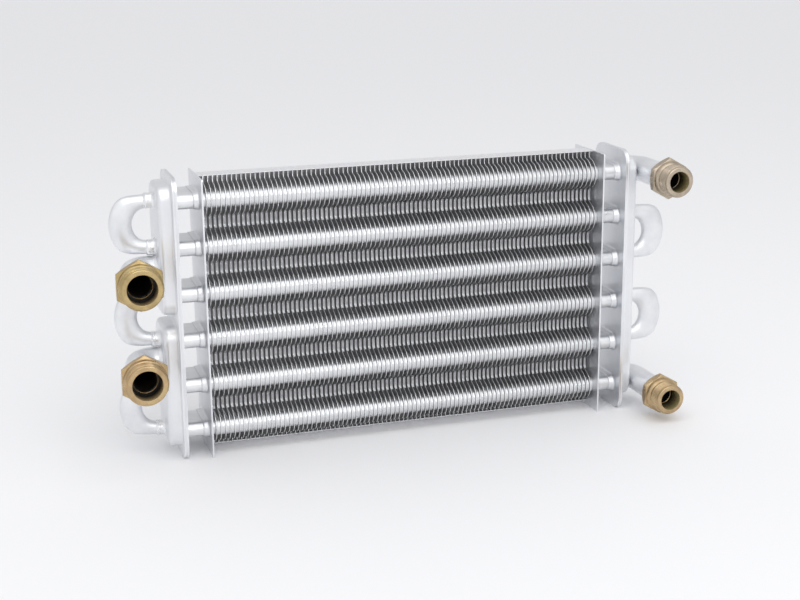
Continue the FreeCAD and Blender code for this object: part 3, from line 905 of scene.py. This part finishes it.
golden_brass = tarnished_brass("golden brass", (0.58, 0.43, 0.2), (0.42, 0.31, 0.145), (0.5, 0.38, 0.19))
pink_brass = tarnished_brass("reddish brass", (0.58, 0.43, 0.225), (0.43, 0.31, 0.165), (0.52, 0.37, 0.205))
grey_brass = tarnished_brass("greyed brass", (0.56, 0.475, 0.365), (0.41, 0.345, 0.265), (0.49, 0.41, 0.32))
tan_brass = tarnished_brass("tan brass", (0.58, 0.44, 0.24), (0.43, 0.31, 0.17), (0.52, 0.38, 0.22))
heating_bore_painted_shade = bore_painted_shade("heating fitting bore, painted shade", mouth_y=-0.034, deep_y=-0.0255, tone=(0.5, 0.37, 0.2))
water_bore_painted_shade = bore_painted_shade("water fitting bore, painted shade", mouth_y=-0.042, deep_y=-0.029, tone=(0.42, 0.35, 0.17))
heating_kind = (-dome_face - heating_offset, heating_size, heating_bore_painted_shade)
water_kind = (dome_face + water_offset, water_size, water_bore_painted_shade)
fittings = [("heating_fitting_upper", heating_kind, heating_heights[1], golden_brass, "brass_golden")]
fittings += [("heating_fitting_lower", heating_kind, heating_heights[0], pink_brass, "brass_pink")]
fittings += [("water_fitting_upper", water_kind, water_heights[1], grey_brass, "brass_tan")]
fittings += [("water_fitting_lower", water_kind, water_heights[0], tan_brass, "brass_tan")]
for node, (x, size, bore_shade_finish), height, brass, slot in fittings:
    patches = fitting(x, height, **size)
    mesh_piece(f"screw_{node}", patches, [brass, bore_shade_finish], [node], sharp_degrees=32.0)


# Studio. A wide pale floor under the object runs into a pale surround, and soft lamps hang
# above and in front of it, as in a photograph for a catalogue.

floor_half = 6
floor_colour = (0.96, 0.96, 0.972, 1.0)
floor_roughness = 0.7
sky_colour = (0.96, 0.965, 0.98, 1.0)
sky_front = (-0.2, -0.83, 0.52)
camera_yaw = math.radians(17.62)
camera_pitch = math.radians(15.17)
camera_roll = math.radians(0.5)
camera_place = (-0.2861, -0.876, 0.341)
sensor_width = 36.0
photo_width = 800.0
focal_length_in_pixels = 1462.0

floor_mesh = bpy.data.meshes.new("floor")
floor_corners = [(-floor_half, -floor_half, 0), (floor_half, -floor_half, 0)]
floor_corners += [(floor_half, floor_half, 0), (-floor_half, floor_half, 0)]
floor_mesh.from_pydata(floor_corners, [], [(0, 1, 2, 3)])
floor = bpy.data.objects.new("floor", floor_mesh)
bpy.context.scene.collection.objects.link(floor)
floor_material = bpy.data.materials.new("studio floor")
floor_material.use_nodes = True
floor_shader = floor_material.node_tree.nodes["Principled BSDF"]
floor_shader.inputs["Base Color"].default_value = floor_colour
floor_shader.inputs["Roughness"].default_value = floor_roughness
floor_mesh.materials.append(floor_material)

# The surround glows more before and above the object than behind it, which shades the metal.
world = bpy.data.worlds.new("studio")
world.use_nodes = True
bpy.context.scene.world = world
sky_nodes = world.node_tree.nodes
sky_links = world.node_tree.links
sky = sky_nodes["Background"]
sky.inputs["Color"].default_value = sky_colour
look = sky_nodes.new("ShaderNodeTexCoord")
towards_front = sky_nodes.new("ShaderNodeVectorMath")
towards_front.operation = "DOT_PRODUCT"
towards_front.inputs[1].default_value = sky_front
sky_links.new(look.outputs["Generated"], towards_front.inputs[0])
glow = sky_nodes.new("ShaderNodeMapRange")
glow.interpolation_type = "SMOOTHSTEP"
glow.inputs["From Min"].default_value = 0.05
glow.inputs["From Max"].default_value = 0.75
glow.inputs["To Min"].default_value = 0.7
glow.inputs["To Max"].default_value = 0.98
sky_links.new(towards_front.outputs["Value"], glow.inputs["Value"])
sky_links.new(glow.outputs["Result"], sky.inputs["Strength"])


def placed(right, up, back, place):
    """A matrix whose columns are an object's own right, up and back, and its place."""
    matrix = np.eye(4)
    matrix[:3] = np.stack([right, up, back, place], axis=-1)
    return Matrix(matrix.tolist())


def soft_lamp(name, place, target, size, power):
    """A wide area lamp at place, turned to look at target: its back points straight away from it."""
    light = bpy.data.lights.new(name, "AREA")
    light.shape = "RECTANGLE"
    light.size, light.size_y = size
    light.energy = power
    lamp = bpy.data.objects.new(name, light)
    back = np.array(place) - np.array(target)
    back = back / np.linalg.norm(back)
    right = np.cross((0.0, 0.0, 1.0), back)
    right = right / np.linalg.norm(right)
    lamp.matrix_world = placed(right, np.cross(back, right), back, place)
    bpy.context.scene.collection.objects.link(lamp)


soft_lamp("overhead lamp", place=(0.0, -0.5, 1.3), target=(0.0, -0.1, 0.0), size=(1.6, 0.9), power=3.2)
soft_lamp("front lamp", place=(0.0, -1.5, 1.0), target=(0.0, -0.1, 0.05), size=(1.2, 0.8), power=4.2)

# The camera looks along its yaw, to the right, and its pitch, down, and leans by its roll.
level_forward = np.array([math.sin(camera_yaw), math.cos(camera_yaw), 0.0])
level_right = np.array([math.cos(camera_yaw), -math.sin(camera_yaw), 0.0])
forward = math.cos(camera_pitch) * level_forward - math.sin(camera_pitch) * np.array([0.0, 0.0, 1.0])
level_down = np.cross(forward, level_right)
image_right = math.cos(camera_roll) * level_right + math.sin(camera_roll) * level_down
image_down = -math.sin(camera_roll) * level_right + math.cos(camera_roll) * level_down
lens = bpy.data.cameras.new("camera")
lens.sensor_width = sensor_width
lens.lens = sensor_width * focal_length_in_pixels / photo_width
camera = bpy.data.objects.new("camera", lens)
camera.matrix_world = placed(image_right, -image_down, -forward, camera_place)
bpy.context.scene.collection.objects.link(camera)
bpy.context.scene.camera = camera
bpy.context.scene.view_settings.view_transform = "Standard"
